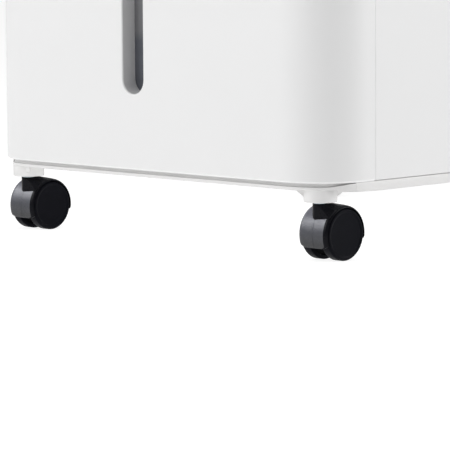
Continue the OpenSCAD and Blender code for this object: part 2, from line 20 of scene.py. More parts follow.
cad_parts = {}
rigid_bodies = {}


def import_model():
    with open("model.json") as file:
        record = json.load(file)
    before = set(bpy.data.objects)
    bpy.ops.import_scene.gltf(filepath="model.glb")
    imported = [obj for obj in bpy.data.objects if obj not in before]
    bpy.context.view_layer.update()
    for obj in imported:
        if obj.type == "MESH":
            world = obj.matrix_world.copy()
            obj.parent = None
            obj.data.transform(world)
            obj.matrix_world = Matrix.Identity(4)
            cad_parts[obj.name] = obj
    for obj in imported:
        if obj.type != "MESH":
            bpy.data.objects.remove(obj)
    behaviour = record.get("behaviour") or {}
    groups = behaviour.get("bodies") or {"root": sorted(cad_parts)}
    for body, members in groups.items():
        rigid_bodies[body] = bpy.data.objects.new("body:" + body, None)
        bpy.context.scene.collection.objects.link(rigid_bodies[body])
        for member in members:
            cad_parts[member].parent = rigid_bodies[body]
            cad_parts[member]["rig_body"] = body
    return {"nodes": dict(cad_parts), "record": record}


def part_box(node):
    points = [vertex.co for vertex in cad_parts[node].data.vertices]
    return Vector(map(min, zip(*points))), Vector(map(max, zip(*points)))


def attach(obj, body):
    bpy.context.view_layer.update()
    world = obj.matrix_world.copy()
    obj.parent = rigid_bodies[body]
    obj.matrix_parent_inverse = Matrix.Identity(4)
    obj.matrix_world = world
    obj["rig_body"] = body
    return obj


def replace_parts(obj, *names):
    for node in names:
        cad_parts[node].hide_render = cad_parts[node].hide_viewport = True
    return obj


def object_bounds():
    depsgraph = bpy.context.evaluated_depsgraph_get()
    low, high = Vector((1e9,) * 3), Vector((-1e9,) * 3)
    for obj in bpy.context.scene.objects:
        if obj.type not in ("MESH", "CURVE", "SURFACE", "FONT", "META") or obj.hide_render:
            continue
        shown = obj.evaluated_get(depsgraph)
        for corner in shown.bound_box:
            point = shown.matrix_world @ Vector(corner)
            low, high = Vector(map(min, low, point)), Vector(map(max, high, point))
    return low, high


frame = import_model()
CAD_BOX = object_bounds()

LOG = logging.getLogger("dehumidifier")
MM = 0.001
SHARP_EDGE = math.radians(40)  # the least angle of an edge that is rounded by hand
CREASE = math.radians(38)  # edges sharper than this are drawn sharp

Point = tuple[float, float, float]
Pair = tuple[float, float]
Colour = tuple[float, float, float]


# ---------------------------------------------------------------- finishes


class Pattern(Enum):
    """Which procedural pattern gives a surface its relief."""

    SKIN = "fine moulded skin"
    LEATHER = "pebbled grain"
    BRUSHED = "fine lines along one axis"
    SPANGLE = "zinc crystals"


class Graph:
    """A material and the few node moves that the finishes need."""

    def __init__(self, name: str) -> None:
        """Starts a material with one Principled shader.

        Args:
            name: The material's name.
        """
        self.material = bpy.data.materials.new(name)
        self.material.use_nodes = True
        self.tree = self.material.node_tree
        self.tree.nodes.clear()
        self.shader = self.tree.nodes.new("ShaderNodeBsdfPrincipled")
        self.out = self.tree.nodes.new("ShaderNodeOutputMaterial")
        self.join(self.shader.outputs["BSDF"], self.out.inputs["Surface"])
        self.coords = self.tree.nodes.new("ShaderNodeTexCoord").outputs["Object"]

    def join(self, source: bpy.types.NodeSocket, target: bpy.types.NodeSocket) -> None:
        """Links two sockets."""
        self.tree.links.new(source, target)

    def set(self, **values: object) -> None:
        """Sets sockets of the shader, named with underscores for spaces.

        Args:
            **values: A value for each socket.
        """
        for name, value in values.items():
            self.shader.inputs[name.replace("_", " ")].default_value = value

    def stretched(self, stretch: Point) -> bpy.types.NodeSocket:
        """Coordinates scaled by a factor along each axis.

        Args:
            stretch: The three factors.

        Returns:
            The socket with the scaled coordinates.
        """
        node = self.tree.nodes.new("ShaderNodeMapping")
        node.inputs["Scale"].default_value = stretch
        self.join(self.coords, node.inputs["Vector"])
        return node.outputs["Vector"]

    def noise(self, size: float, detail: float = 3.0, stretch: Point = (1, 1, 1)) -> bpy.types.NodeSocket:
        """Smooth noise.

        Args:
            size: The width of one blotch.
            detail: Octaves of finer noise.
            stretch: Factors that squeeze the blotches along each axis.

        Returns:
            The noise value, about 0 to 1.
        """
        node = self.tree.nodes.new("ShaderNodeTexNoise")
        node.inputs["Scale"].default_value = 1.0 / size
        node.inputs["Detail"].default_value = detail
        self.join(self.stretched(stretch), node.inputs["Vector"])
        return node.outputs["Fac"]

    def cells(self, size: float, feature: str = "F1", stretch: Point = (1, 1, 1)) -> bpy.types.Node:
        """Voronoi cells.

        Args:
            size: The width of one cell.
            feature: Blender's name of the distance that is measured.
            stretch: Factors that squeeze the cells along each axis.

        Returns:
            The Voronoi node.
        """
        node = self.tree.nodes.new("ShaderNodeTexVoronoi")
        node.feature = feature
        node.inputs["Scale"].default_value = 1.0 / size
        self.join(self.stretched(stretch), node.inputs["Vector"])
        return node

    def spread(self, source: bpy.types.NodeSocket, low: float, high: float,
               start: float = 0.3, end: float = 0.7) -> bpy.types.NodeSocket:
        """Maps a value from one span to another.

        Args:
            source: The value.
            low: Result at start.
            high: Result at end.
            start: Value that gives low.
            end: Value that gives high.

        Returns:
            The mapped value, held between low and high.
        """
        node = self.tree.nodes.new("ShaderNodeMapRange")
        for name, value in (("From Min", start), ("From Max", end), ("To Min", low), ("To Max", high)):
            node.inputs[name].default_value = value
        self.join(source, node.inputs["Value"])
        return node.outputs["Result"]

    def blend(self, share: bpy.types.NodeSocket, first: Colour, second: Colour) -> bpy.types.NodeSocket:
        """Mixes two colours.

        Args:
            share: 0 for the first colour and 1 for the second.
            first: First colour.
            second: Second colour.

        Returns:
            The mixed colour.
        """
        node = self.tree.nodes.new("ShaderNodeMix")
        node.data_type = "RGBA"
        self.join(share, node.inputs[0])
        node.inputs[6].default_value = (*first, 1.0)
        node.inputs[7].default_value = (*second, 1.0)
        return node.outputs[2]

    def ramp(self, share: bpy.types.NodeSocket,
             stops: Sequence[tuple[float, Colour]]) -> bpy.types.NodeSocket:
        """A colour ramp.

        Args:
            share: The place on the ramp.
            stops: Places and their colours, from low to high.

        Returns:
            The colour at that place.
        """
        node = self.tree.nodes.new("ShaderNodeValToRGB")
        points = node.color_ramp.elements
        while len(points) < len(stops):
            points.new(1.0)
        for point, (place, colour) in zip(points, stops):
            point.position = place
            point.color = (*colour, 1.0)
        self.join(share, node.inputs["Fac"])
        return node.outputs["Color"]

    def height(self) -> bpy.types.NodeSocket:
        """The Z coordinate."""
        node = self.tree.nodes.new("ShaderNodeSeparateXYZ")
        self.join(self.coords, node.inputs["Vector"])
        return node.outputs["Z"]

    def relief(self, source: bpy.types.NodeSocket, depth: float) -> None:
        """Adds a relief on top of those that the shader already has.

        Args:
            source: The height, 0 to 1.
            depth: The height of 1.
        """
        node = self.tree.nodes.new("ShaderNodeBump")
        node.inputs["Distance"].default_value = depth
        node.inputs["Strength"].default_value = 1.0
        self.join(source, node.inputs["Height"])
        target = self.shader.inputs["Normal"]
        if target.is_linked:
            self.join(target.links[0].from_socket, node.inputs["Normal"])
        self.join(node.outputs["Normal"], target)


@dataclass(frozen=True)
class Finish:
    """A moulded, painted or metal finish with tone, gloss and relief that vary over the surface."""

    name: str
    colour: Colour
    roughness: float
    metallic: float = 0.0
    specular: float = 0.5
    coat: float = 0.0
    pattern: Pattern = Pattern.SKIN
    grain: float = 0.0006
    depth: float = 0.00002
    mottle: float = 0.04
    mottle_size: float = 0.04
    gloss_spread: float = 0.05
    through: float = 0.0
    scatter: float = 0.0

    def shade(self, factor: float) -> Colour:
        """The colour, made lighter or darker by a factor."""
        return tuple(min(1.0, c * factor) for c in self.colour)

    def make(self) -> bpy.types.Material:
        """Builds the material.

        Returns:
            The material.
        """
        graph = Graph(self.name)
        graph.set(Metallic=self.metallic, Specular_IOR_Level=self.specular, Coat_Weight=self.coat,
                  Transmission_Weight=self.through, Subsurface_Weight=self.scatter, Subsurface_Scale=0.003)
        cloud = graph.noise(self.mottle_size, 4.0)
        graph.join(graph.blend(graph.spread(cloud, 0.0, 1.0), self.shade(1 - self.mottle),
                               self.shade(1 + self.mottle / 2)), graph.shader.inputs["Base Color"])
        wear = graph.noise(self.mottle_size / 6, 5.0)
        glossy = max(0.02, self.roughness - self.gloss_spread)
        dull = min(1.0, self.roughness + self.gloss_spread)
        graph.join(graph.spread(wear, glossy, dull), graph.shader.inputs["Roughness"])
        self.pattern_relief(graph)
        return graph.material

    def pattern_relief(self, graph: Graph) -> None:
        """Adds the relief of the finish's pattern.

        Args:
            graph: The material being built.
        """
        if self.pattern is Pattern.SKIN:
            graph.relief(graph.noise(self.grain, 2.0), self.depth)
        elif self.pattern is Pattern.LEATHER:
            graph.relief(graph.cells(self.grain, "SMOOTH_F1").outputs["Distance"], self.depth)
            graph.relief(graph.noise(self.grain / 2.5, 2.0), self.depth / 2)
        elif self.pattern is Pattern.BRUSHED:
            graph.relief(graph.noise(self.grain, 4.0, (1, 1, 0.04)), self.depth)
        else:
            tone = graph.cells(self.grain).outputs["Distance"]
            graph.relief(tone, self.depth)


@dataclass(frozen=True)
class LevelWindowFinish:
    """A smoky window that is darker below the water line behind it."""

    name: str
    bottom: float
    top: float
    water: float
    wet: Colour = (0.110, 0.116, 0.135)
    dry_low: Colour = (0.180, 0.180, 0.190)
    dry_high: Colour = (0.255, 0.255, 0.266)

    def make(self) -> bpy.types.Material:
        """Builds the material.

        Returns:
            The material.
        """
        graph = Graph(self.name)
        graph.set(Specular_IOR_Level=0.25, Coat_Weight=0.1)
        share = graph.spread(graph.height(), 0.0, 1.0, self.bottom, self.top)
        line = (self.water - self.bottom) / (self.top - self.bottom)
        soft = 0.03
        colour = graph.ramp(share, [(0.0, self.wet), (line - soft, self.wet), (line + soft, self.dry_low),
                                    (1.0, self.dry_high)])
        graph.join(colour, graph.shader.inputs["Base Color"])
        graph.join(graph.spread(graph.noise(0.004, 3.0), 0.28, 0.36), graph.shader.inputs["Roughness"])
        graph.relief(graph.noise(0.012, 2.0), 0.00003)
        return graph.material


@dataclass(frozen=True)
class GrainedNylonFinish:
    """Grained nylon whose colour grows paler towards its top: a painted highlight of the light from above."""

    name: str
    # low is the dark colour at the bottom and high the painted highlight colour at the top.
    low: Colour = (0.007, 0.0073, 0.0105)
    high: Colour = (0.125, 0.131, 0.165)
    low_z: float = 13.0 * MM
    high_z: float = 33.0 * MM
    grain: float = 0.75 * MM

    def make(self) -> bpy.types.Material:
        """Builds the material.

        Returns:
            The material.
        """
        graph = Graph(self.name)
        graph.set(Specular_IOR_Level=0.6)
        # Painted highlight: the colour runs from dark at low_z to pale at high_z.
        rise = graph.spread(graph.height(), 0.0, 1.0, self.low_z, self.high_z)
        pale = tuple((a + b) / 2.6 for a, b in zip(self.low, self.high))
        graph.join(graph.ramp(rise, [(0.0, self.low), (0.5, pale), (1.0, self.high)]),
                   graph.shader.inputs["Base Color"])
        graph.join(graph.spread(graph.noise(2 * MM, 4.0), 0.30, 0.42), graph.shader.inputs["Roughness"])
        graph.relief(graph.cells(self.grain, "SMOOTH_F1").outputs["Distance"], 0.16 * MM)
        graph.relief(graph.noise(self.grain / 2.5, 2.0), 0.08 * MM)
        return graph.material


@dataclass(frozen=True)
class BoardFinish:
    """Green solder mask with lighter tracks."""

    name: str
    mask: Colour = (0.012, 0.085, 0.035)
    track: Colour = (0.035, 0.19, 0.075)

    def make(self) -> bpy.types.Material:
        """Builds the material.

        Returns:
            The material.
        """
        graph = Graph(self.name)
        graph.set(Specular_IOR_Level=0.5, Coat_Weight=0.3)
        cells = graph.cells(0.006, "DISTANCE_TO_EDGE", (1, 0.01, 1)).outputs["Distance"]
        graph.join(graph.blend(graph.spread(cells, 1.0, 0.0, 0.04, 0.07), self.mask, self.track),
                   graph.shader.inputs["Base Color"])
        graph.join(graph.spread(graph.noise(0.003), 0.3, 0.42), graph.shader.inputs["Roughness"])
        graph.relief(graph.spread(cells, 1.0, 0.0, 0.04, 0.07), 0.00004)
        return graph.material


AnyFinish = Finish | LevelWindowFinish | GrainedNylonFinish | BoardFinish

WHITE = (0.86, 0.86, 0.861)
FINISHES: dict[str, Finish | GrainedNylonFinish | BoardFinish] = {
    "white_shell": Finish("satin_white", WHITE, 0.42, specular=0.35, mottle=0.008, mottle_size=0.09,
                          grain=0.0009, depth=0.000012),
    "white_base": Finish("matt_white", (0.82, 0.815, 0.81), 0.55, specular=0.3, mottle=0.012, grain=0.0008,
                         depth=0.00003),
    "inner_plastic": Finish("plain_grey", (0.47, 0.48, 0.49), 0.55, mottle=0.03),
    "gloss_black": Finish("gloss_black", (0.012, 0.012, 0.014), 0.12, coat=0.5, mottle=0.1, grain=0.004,
                          depth=0.00001, gloss_spread=0.03),
    "display_glass": Finish("display_glass", (0.01, 0.013, 0.018), 0.06, coat=1.0, mottle=0.1, grain=0.006,
                            depth=0.000006, gloss_spread=0.02),
    "button_grey": Finish("button_grey", (0.56, 0.57, 0.6), 0.45, mottle=0.02, grain=0.0004),
    "dark_plastic": Finish("dark_plastic", (0.028, 0.028, 0.031), 0.5, pattern=Pattern.LEATHER, grain=0.0007,
                           depth=0.00003),
    "filter_mesh": Finish("filter_frame", (0.045, 0.048, 0.055), 0.55, mottle=0.08, grain=0.0005),
    "black_rubber": Finish("black_rubber", (0.02, 0.02, 0.02), 0.7, specular=0.3, mottle=0.12, grain=0.0005,
                           depth=0.00004),
    "grey_rubber": Finish("grey_rubber", (0.085, 0.09, 0.1), 0.65, specular=0.3, mottle=0.1, grain=0.0006,
                          depth=0.00004),
    "zinc": Finish("zinc", (0.62, 0.72, 0.76), 0.32, metallic=1.0, pattern=Pattern.SPANGLE, mottle=0.1,
                   mottle_size=0.004, grain=0.0012, depth=0.00002),
    "coil_fins": Finish("bare_fins", (0.74, 0.76, 0.78), 0.36, metallic=1.0, pattern=Pattern.BRUSHED,
                        mottle=0.06, mottle_size=0.02, grain=0.0005),
    "black_paint": Finish("black_paint", (0.016, 0.016, 0.018), 0.3, coat=0.4, mottle=0.15, grain=0.0011,
                          depth=0.00004),
    "copper": Finish("copper", (0.78, 0.38, 0.22), 0.28, metallic=1.0, pattern=Pattern.BRUSHED, mottle=0.18,
                     mottle_size=0.015, grain=0.0006),
    "fan_plastic": Finish("fan_plastic", (0.74, 0.74, 0.70), 0.5, mottle=0.02, scatter=0.1),
    "motor_steel": Finish("motor_steel", (0.5, 0.51, 0.53), 0.38, metallic=1.0, pattern=Pattern.SPANGLE,
                          mottle=0.12, mottle_size=0.008, grain=0.005, depth=0.00003),
    "board": BoardFinish("solder_mask"),
    "capacitor_can": Finish("capacitor_can", (0.78, 0.79, 0.81), 0.3, metallic=1.0, pattern=Pattern.BRUSHED,
                            mottle=0.05, grain=0.0005),
    "tank_plastic": Finish("tank_plastic", (0.42, 0.45, 0.48), 0.3, coat=0.2, mottle=0.02, mottle_size=0.05,
                           grain=0.002, depth=0.00003, through=0.25, scatter=0.15),
    "float_foam": Finish("float_foam", (0.80, 0.76, 0.68), 0.85, specular=0.2, pattern=Pattern.LEATHER,
                         mottle=0.06, grain=0.0016, depth=0.00025),
    "nylon_black": GrainedNylonFinish("grained_nylon_painted_highlight"),
}
# Smooth saddle finish; the right rim also wears it as painted shade, darker than the left rim only because it
# faces away from the lights.
SMOOTH_NYLON_AND_RIM_SHADE = Finish("smooth_nylon_and_rim_shade", (0.005, 0.0052, 0.0075), 0.3, specular=0.08, mottle=0.12,
                      mottle_size=0.01, grain=0.0007, depth=0.00001)
WHEEL_FACE = Finish("wheel_face", (0.0045, 0.0048, 0.0075), 0.42, specular=0.04, mottle=0.1, mottle_size=0.01,
                    grain=0.0006, depth=0.000012)
# Grey of the sheet on the slot's wall: painted shade over the white shell, not a part of its own.
SLOT_SHADE_FINISH = Finish("slot_shade_sheet", (0.63, 0.63, 0.635), 0.5, mottle=0.01, grain=0.0009)


# ---------------------------------------------------------------- mesh tools


def mesh_of(points: Sequence[Vector | Point], faces: Sequence[Sequence[int]]) -> bmesh.types.BMesh:
    """A bmesh from points and faces.

    Args:
        points: The corners.
        faces: Corner numbers of each face.

    Returns:
        The bmesh, with outward normals.
    """
    bm = bmesh.new()
    corners = [bm.verts.new(p) for p in points]
    for face in faces:
        bm.faces.new([corners[i] for i in face])
    bmesh.ops.recalc_face_normals(bm, faces=bm.faces)
    return bm


def loft(rings: Sequence[Sequence[Point]], looped: bool = False) -> bmesh.types.BMesh:
    """A closed surface through rings of the same number of points.

    Args:
        rings: The rings, in order.
        looped: The last ring joins the first one. Otherwise a face closes each of them.

    Returns:
        The bmesh.
    """
    count = len(rings[0])
    points = [p for ring in rings for p in ring]
    faces: list[list[int]] = []
    for i in range(len(rings) if looped else len(rings) - 1):
        low, high = i * count, ((i + 1) % len(rings)) * count
        for j in range(count):
            k = (j + 1) % count
            faces.append([low + j, low + k, high + k, high + j])
    if not looped:
        faces.append(list(range(count)))
        faces.append([(len(rings) - 1) * count + j for j in range(count)])
    return mesh_of(points, faces)


def turned(profile: Sequence[Pair], sides: int, place: Matrix) -> bmesh.types.BMesh:
    """A closed solid of revolution.

    Args:
        profile: Radius and height of each point, as a closed outline or from axis to axis.
        sides: Facets round the axis.
        place: Takes the local Z axis to its place.

    Returns:
        The bmesh.
    """
    rings = []
    for i in range(sides):
        angle = math.tau * i / sides
        rings.append([place @ Vector((r * math.cos(angle), r * math.sin(angle), h)) for r, h in profile])
    bm = loft(rings, looped=True)
    bmesh.ops.remove_doubles(bm, verts=bm.verts, dist=1e-7)
    bmesh.ops.dissolve_degenerate(bm, edges=bm.edges, dist=1e-8)
    bmesh.ops.recalc_face_normals(bm, faces=bm.faces)
    return bm


def rounded_profile(corners: Sequence[Pair], radii: Sequence[float], steps: int) -> list[Pair]:
    """A closed outline with round corners.

    Args:
        corners: The sharp corners, in order.
        radii: Radius at each corner, 0 to keep it sharp.
        steps: Segments of each arc.

    Returns:
        The outline's points.
    """
    made: list[Pair] = []
    for i, (corner, radius) in enumerate(zip(corners, radii)):
        here = Vector(corner)
        if radius <= 0:
            made.append(tuple(here))
            continue
        back = (Vector(corners[i - 1]) - here).normalized()
        ahead = (Vector(corners[(i + 1) % len(corners)]) - here).normalized()
        half = back.angle(ahead) / 2
        reach = radius / math.tan(half)
        middle = here + (back + ahead).normalized() * (radius / math.sin(half))
        first, last = here + back * reach - middle, here + ahead * reach - middle
        turn = first.angle_signed(last)
        for step in range(steps + 1):
            made.append(tuple(middle + Matrix.Rotation(-turn * step / steps, 2) @ first))
    return made


def tube(path: Sequence[Vector | Point], radius: float, sides: int = 16) -> bmesh.types.BMesh:
    """A round bar along a path.

    Args:
        path: Points along the middle.
        radius: The bar's radius.
        sides: Facets round it.

    Returns:
        The bmesh.
    """
    points = [Vector(p) for p in path]
    side = (points[1] - points[0]).orthogonal().normalized()
    rings = []
    for i, point in enumerate(points):
        ahead = points[min(i + 1, len(points) - 1)] - points[max(i - 1, 0)]
        ahead.normalize()
        side = (side - ahead * side.dot(ahead)).normalized()
        other = ahead.cross(side)
        rings.append([point + (side * math.cos(a) + other * math.sin(a)) * radius
                      for a in (math.tau * k / sides for k in range(sides))])
    return loft(rings)


def block(low: Point, high: Point) -> bmesh.types.BMesh:
    """A box between two corners.

    Args:
        low: Lowest corner.
        high: Highest corner.

    Returns:
        The bmesh.
    """
    size = Vector(high) - Vector(low)
    bm = bmesh.new()
    bmesh.ops.create_cube(bm, size=1.0)
    place = Matrix.Translation(Vector(low) + size / 2) @ Matrix.Diagonal((*size, 1))
    bmesh.ops.transform(bm, verts=bm.verts, matrix=place)
    return bm


def joined(parts: Iterable[bmesh.types.BMesh]) -> bmesh.types.BMesh:
    """Several bmeshes in one, as separate solids.

    Args:
        parts: The bmeshes, which are freed.

    Returns:
        The bmesh with all of them.
    """
    whole = bmesh.new()
    for part in parts:
        mesh = bpy.data.meshes.new("part")
        part.to_mesh(mesh)
        part.free()
        whole.from_mesh(mesh)
        bpy.data.meshes.remove(mesh)
    return whole


def hull_of(points: Sequence[Point]) -> bmesh.types.BMesh:
    """The convex hull of some points.

    Args:
        points: The points.

    Returns:
        The bmesh.
    """
    bm = bmesh.new()
    for p in points:
        bm.verts.new(p)
    result = bmesh.ops.convex_hull(bm, input=bm.verts)
    inside = [v for v in result["geom_interior"] if isinstance(v, bmesh.types.BMVert)]
    bmesh.ops.delete(bm, geom=inside, context="VERTS")
    bmesh.ops.dissolve_limit(bm, angle_limit=math.radians(1.0), verts=bm.verts, edges=bm.edges)
    bmesh.ops.recalc_face_normals(bm, faces=bm.faces)
    return bm


@dataclass(frozen=True)
class Softening:
    """How the edges of a piece are rounded."""

    width: float = 0.0005
    segments: int = 2
    angle: float = math.radians(35)


@dataclass
class Workbench:
    """Makes pieces from the frame's nodes or from new meshes, dresses them and puts them on their bodies."""

    slots: dict[str, str]
    materials: dict[str, bpy.types.Material] = field(default_factory=dict)
    count: int = 0

    def finish(self, source: AnyFinish) -> bpy.types.Material:
        """The material of a finish, built once."""
        if source.name not in self.materials:
            self.materials[source.name] = source.make()
        return self.materials[source.name]

    def copy(self, node: str) -> bmesh.types.BMesh:
        """A frame node's shape with its flat faces made whole.

        Args:
            node: The node's name.

        Returns:
            The bmesh.
        """
        bm = bmesh.new()
        bm.from_mesh(frame["nodes"][node].data)
        bmesh.ops.remove_doubles(bm, verts=bm.verts, dist=2e-6)
        bmesh.ops.dissolve_limit(bm, angle_limit=math.radians(0.4), verts=bm.verts, edges=bm.edges)
        return bm

    def bevel(self, bm: bmesh.types.BMesh, width: float, chosen: Callable[[Vector, Vector], bool],
              segments: int) -> None:
        """Rounds some of the sharp edges of a bmesh.

        Args:
            bm: The bmesh.
            width: How far the rounding reaches from the edge.
            chosen: Says whether an edge with these two ends is rounded.
            segments: Segments of the rounding.
        """
        edges = [e for e in bm.edges if len(e.link_faces) == 2 and e.calc_face_angle(0) > SHARP_EDGE
                 and chosen(e.verts[0].co, e.verts[1].co)]
        bmesh.ops.bevel(bm, geom=edges, offset=width, offset_type="OFFSET", segments=segments, profile=0.5,
                        affect="EDGES", clamp_overlap=True)

    def publish(self, name: str, bm: bmesh.types.BMesh, nodes: Sequence[str],
                finish: AnyFinish | None = None,
                soft: Softening | None = Softening()) -> bpy.types.Object:
        """Turns a bmesh into a piece that rides with the first node's body.

        Args:
            name: The piece's name.
            bm: Its shape, which is freed.
            nodes: Frame nodes; only the first is read, for the body and the finish's slot.
            finish: Its finish, or None for that of the first node's slot.
            soft: The rounding of its edges, or None.

        Returns:
            The object.
        """
        mesh = bpy.data.meshes.new(name)
        bm.to_mesh(mesh)
        bm.free()
        mesh.polygons.foreach_set("use_smooth", [True] * len(mesh.polygons))
        mesh.set_sharp_from_angle(angle=CREASE)
        piece = bpy.data.objects.new(name, mesh)
        bpy.context.scene.collection.objects.link(piece)
        slot = self.slots[nodes[0]]
        mesh.materials.append(self.finish(finish or FINISHES[slot]))
        if soft is not None:
            bevel = piece.modifiers.new("soft_edges", "BEVEL")
            bevel.width = soft.width
            bevel.segments = soft.segments
            bevel.limit_method = "ANGLE"
            bevel.angle_limit = soft.angle
            bevel.use_clamp_overlap = True
            normals = piece.modifiers.new("even_normals", "WEIGHTED_NORMAL")
            normals.keep_sharp = True
        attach(piece, frame["nodes"][nodes[0]]["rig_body"])
        self.count += 1
        LOG.info("%s: %d faces", name, len(mesh.polygons))
        return piece

    def stand_in(self, piece: bpy.types.Object, *nodes: str) -> bpy.types.Object:
        """Hides some frame nodes, which the piece stands in for."""
        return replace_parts(piece, *nodes)

    def rework(self, node: str, soft: Softening | None = Softening(),
               finish: AnyFinish | None = None,
               shape: Callable[[bmesh.types.BMesh], None] | None = None) -> bpy.types.Object:
        """Replaces a node with a copy that has soft edges and a finish.

        Args:
            node: The node's name.
            soft: The rounding of its edges.
            finish: Its finish, or None for that of its slot.
            shape: Changes the copy before it is published.

        Returns:
            The object.
        """
        bm = self.copy(node)
        if shape is not None:
            shape(bm)
        return self.stand_in(self.publish(node + "_piece", bm, [node], finish, soft), node)


def middle_of(node: str) -> Vector:
    """The middle of a frame node's box."""
    low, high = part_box(node)
    return (low + high) / 2


# ---------------------------------------------------------------- cabinet


@dataclass
class Shells:
    """White outer shells: tank front, upper panel, top cover, housing and base."""

    bench: Workbench
    lower_edge: float = 2.0 * MM
    slot_edge: float = 1.1 * MM
    lip_edge: float = 2.0 * MM
    seam_edge: float = 0.35 * MM
    front_radius: float = 46.5 * MM
    seam_depth: float = 0.25 * MM
    boss_edge: float = 0.7 * MM
    lip_drop: float = 5.3 * MM
    skirt_start: float = 34.7 * MM
    front_depth: float = 54.0 * MM
    skirt_wall: float = 4.5 * MM
    edge_slack: float = 0.2 * MM

    def tank_front(self) -> None:
        """The wrap-around front with its level slot, round lower edge and finger grip."""
        low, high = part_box("tank_front")
        bottom, front = low.z, low.y
        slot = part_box("level_window")

        def is_lower(a: Vector, b: Vector) -> bool:
            """True for the outer half of the lower edge."""
            return all(p.z < bottom + self.edge_slack and self.outside(p, low, high) for p in (a, b))

        def is_slot(a: Vector, b: Vector) -> bool:
            """True for the slot's edge on the front face."""
            return all(abs(p.y - front) < self.edge_slack and slot[0].x < p.x < slot[1].x
                       and slot[0].z < p.z < slot[1].z for p in (a, b))

        def shape(bm: bmesh.types.BMesh) -> None:
            """Rounds the edges that show most."""
            self.bench.bevel(bm, self.lower_edge, is_lower, 5)
            self.bench.bevel(bm, self.slot_edge, is_slot, 4)

        self.bench.rework("tank_front", Softening(self.seam_edge, 2), shape=shape)

    def outside(self, p: Vector, low: Vector, high: Vector) -> bool:
        """True for a point on the outer skin and not on the wall's inner face.

        Args:
            p: The point.
            low: Lowest corner of the shell.
            high: Highest corner of the shell.
        """
        reach = 2.0 * MM
        radius = self.front_radius
        cx, cy = high.x - radius, low.y + radius
        if abs(p.x) <= cx:
            return p.y < low.y + reach
        if p.y >= cy:
            return abs(p.x) > high.x - reach
        return math.hypot(abs(p.x) - cx, p.y - cy) > radius - reach

    def base(self) -> None:
        """The pan with its raised front lip, side skirt and caster bosses."""
        low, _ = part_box("base_pan")
        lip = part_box("tank_front")[0].z - self.lip_drop
        bosses = [middle_of(f"caster_{spot}_stem") for spot in CasterSpot.names()]

        def is_boss(a: Vector, b: Vector) -> bool:
            """True for the lower edge of a boss."""
            return all(p.z < low.z + self.edge_slack and
                       min((p.xy - middle.xy).length for middle in bosses) > 8 * MM for p in (a, b))

        def is_lip(a: Vector, b: Vector) -> bool:
            """True for the lower edge of the front lip."""
            return all(abs(p.z - lip) < self.edge_slack and p.y < low.y + 16 * MM for p in (a, b))

        def shape(bm: bmesh.types.BMesh) -> None:
            """Rounds the edges that show most."""
            self.bench.bevel(bm, self.boss_edge, is_boss, 3)
            self.bench.bevel(bm, self.lip_edge, is_lip, 4)

        self.bench.rework("base_pan", Softening(0.4 * MM, 2), shape=shape)

    def seam_lips(self) -> None:
        """The tongues of the housing that close the upright seams just under the skin."""
        front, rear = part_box("tank_front"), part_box("rear_housing")
        y0, y1 = front[1].y + 0.06 * MM, rear[0].y + 0.4 * MM
        outer, inner = rear[1].x - self.seam_depth, rear[1].x - 2.6 * MM
        lips = [block((min(s * inner, s * outer), y0, rear[0].z), (max(s * inner, s * outer), y1, rear[1].z))
                for s in (-1, 1)]
        self.bench.publish("seam_lips", joined(lips), ["rear_housing"], soft=None)

    def slot_shade_sheet(self) -> None:
        """A thin grey sheet on the level slot's wall: painted shade that darkens the white wall inside the
        recess.
        """
        low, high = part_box("level_window")
        bezel = 1.8 * MM
        centre, radius = (low.x + high.x) / 2, (high.x - low.x) / 2 - bezel
        z0, z1 = low.z + bezel + radius, high.z - bezel - radius
        turns = [math.radians(180 * i / 32) for i in range(33)]

        def ring(r: float, y: float) -> list[Point]:
            """The slot's outline at one radius and depth."""
            upper = [(centre + r * math.cos(a), y, z1 + r * math.sin(a)) for a in turns]
            return upper + [(centre - r * math.cos(a), y, z0 - r * math.sin(a)) for a in turns]

        y0, y1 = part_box("tank_front")[0].y + 1.25 * MM, low.y - 0.02 * MM
        outer, inner = radius - 0.02 * MM, radius - 0.16 * MM
        sheet_of_shade = loft([ring(outer, y0), ring(outer, y1), ring(inner, y1), ring(inner, y0)], looped=True)
        self.bench.publish("slot_shade_sheet", sheet_of_shade, ["tank_front"], SLOT_SHADE_FINISH, None)

    def apron(self, inset: float) -> list[Pair]:
        """The cabinet's outline from the left seam round the front to the right seam, drawn in.

        Args:
            inset: How far inside the skin.
        """
        low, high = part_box("tank_front")
        radius, steps = self.front_radius, 14
        cx, cy = high.x - radius, low.y + radius
        turns = [math.radians(90 * i / steps) for i in range(steps + 1)]
        r = radius - inset
        right = [(cx + r * math.sin(a), cy - r * math.cos(a)) for a in turns]
        right.append((high.x - inset, high.y))
        return [(-x, y) for x, y in reversed(right)] + right

    def lip_riser(self) -> None:
        """The low wall that stands on the lip and closes the shadow gap under the tank front."""
        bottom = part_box("tank_front")[0].z
        outer, inner = self.apron(5.8 * MM), self.apron(7.8 * MM)
        z0, z1 = bottom - 3.4 * MM, bottom - 0.35 * MM
        rings = [[(*a, z0), (*b, z0), (*b, z1), (*a, z1)] for a, b in zip(outer, inner)]
        self.bench.publish("lip_riser", loft(rings), ["base_pan"], soft=None)

